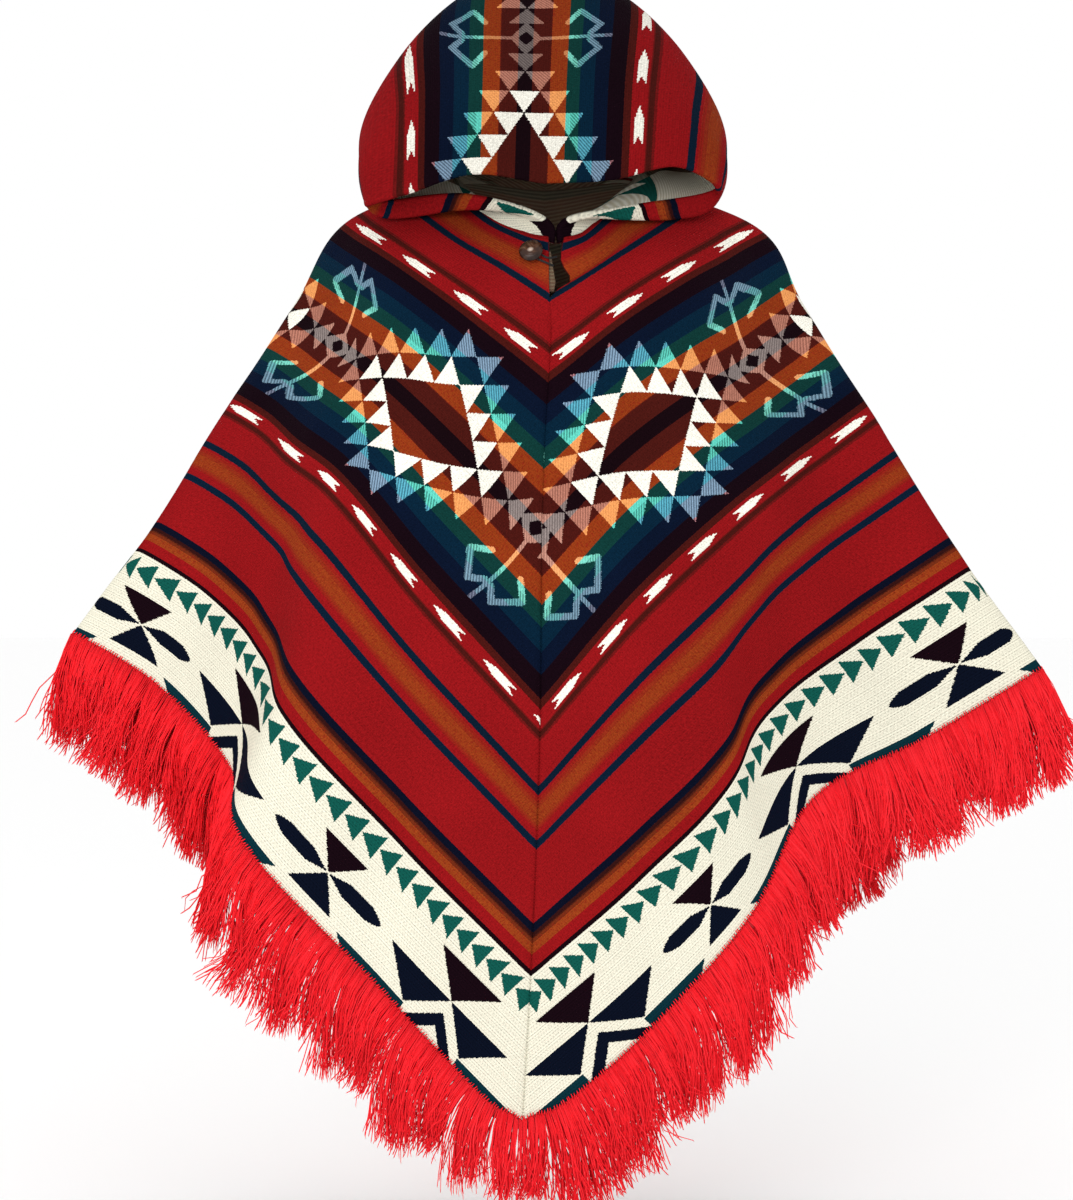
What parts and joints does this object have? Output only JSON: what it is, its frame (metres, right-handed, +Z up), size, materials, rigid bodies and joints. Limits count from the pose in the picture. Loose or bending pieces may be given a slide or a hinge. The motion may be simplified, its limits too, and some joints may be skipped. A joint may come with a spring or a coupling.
{
  "type": "hooded poncho",
  "caption": "Hooded Andean poncho of striped blanket cloth, folded over the shoulders, with a pointed hem, a fringe, a button and an elastic loop, hollow as it is worn.",
  "frame": {"origin": "middle of the neck opening at the height of the shoulders, where the wearer's neck and shoulders hold the poncho", "axes": "+Z up, +Y from the front of the poncho to its back, +X to the right of someone who faces the front"},
  "size_m": [0.9259, 0.2857, 1.0621],
  "materials": {
    "blanket_cloth": "napped woven wool-like cloth, matt",
    "fringe_yarn": "loose acrylic yarn, matt",
    "button_horn": "polished, marbled brown",
    "elastic": "braided, matt"
  },
  "bodies": {
    "root": {"left_half": "blanket_cloth", "right_half": "blanket_cloth", "hood": "blanket_cloth", "fringe": "fringe_yarn", "button": "button_horn", "elastic_loop": "elastic"}
  },
  "joints": []
}
